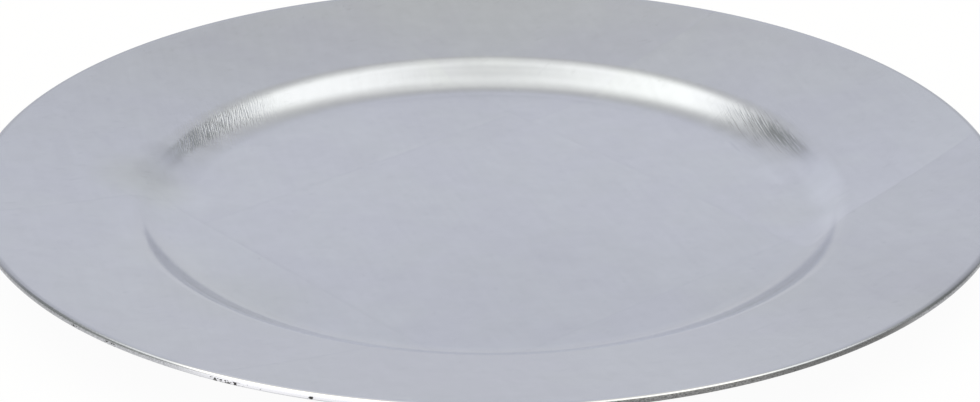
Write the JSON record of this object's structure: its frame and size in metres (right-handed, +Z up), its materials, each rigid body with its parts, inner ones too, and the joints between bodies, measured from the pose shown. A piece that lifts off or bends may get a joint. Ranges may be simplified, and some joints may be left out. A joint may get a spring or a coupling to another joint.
{
  "type": "decorative plate",
  "caption": "Round charger plate with a wide sloping rim, an S-curved wall and a flat well, a moulded blank covered with square sheets of silver leaf.",
  "frame": {"origin": "centre of the foot ring's base, on the table", "axes": "+Z up along the plate's axis, out of the well; -Y towards the viewer of the picture, +X to its right"},
  "size_m": [0.33, 0.33, 0.0196],
  "materials": {
    "blank_plastic": "black moulded plastic with a fine matte grain",
    "silver_leaf": "hand-laid silver-coloured metal leaf under a satin lacquer"
  },
  "bodies": {
    "root": {"plate_blank": "blank_plastic", "leaf_row_1_sheet_1": "silver_leaf", "leaf_row_1_sheet_2": "silver_leaf", "leaf_row_1_sheet_3": "silver_leaf", "leaf_row_2_sheet_1": "silver_leaf", "leaf_row_2_sheet_2": "silver_leaf", "leaf_row_2_sheet_3": "silver_leaf", "leaf_row_3_sheet_1": "silver_leaf", "leaf_row_3_sheet_2": "silver_leaf", "leaf_row_3_sheet_3": "silver_leaf"}
  },
  "joints": []
}
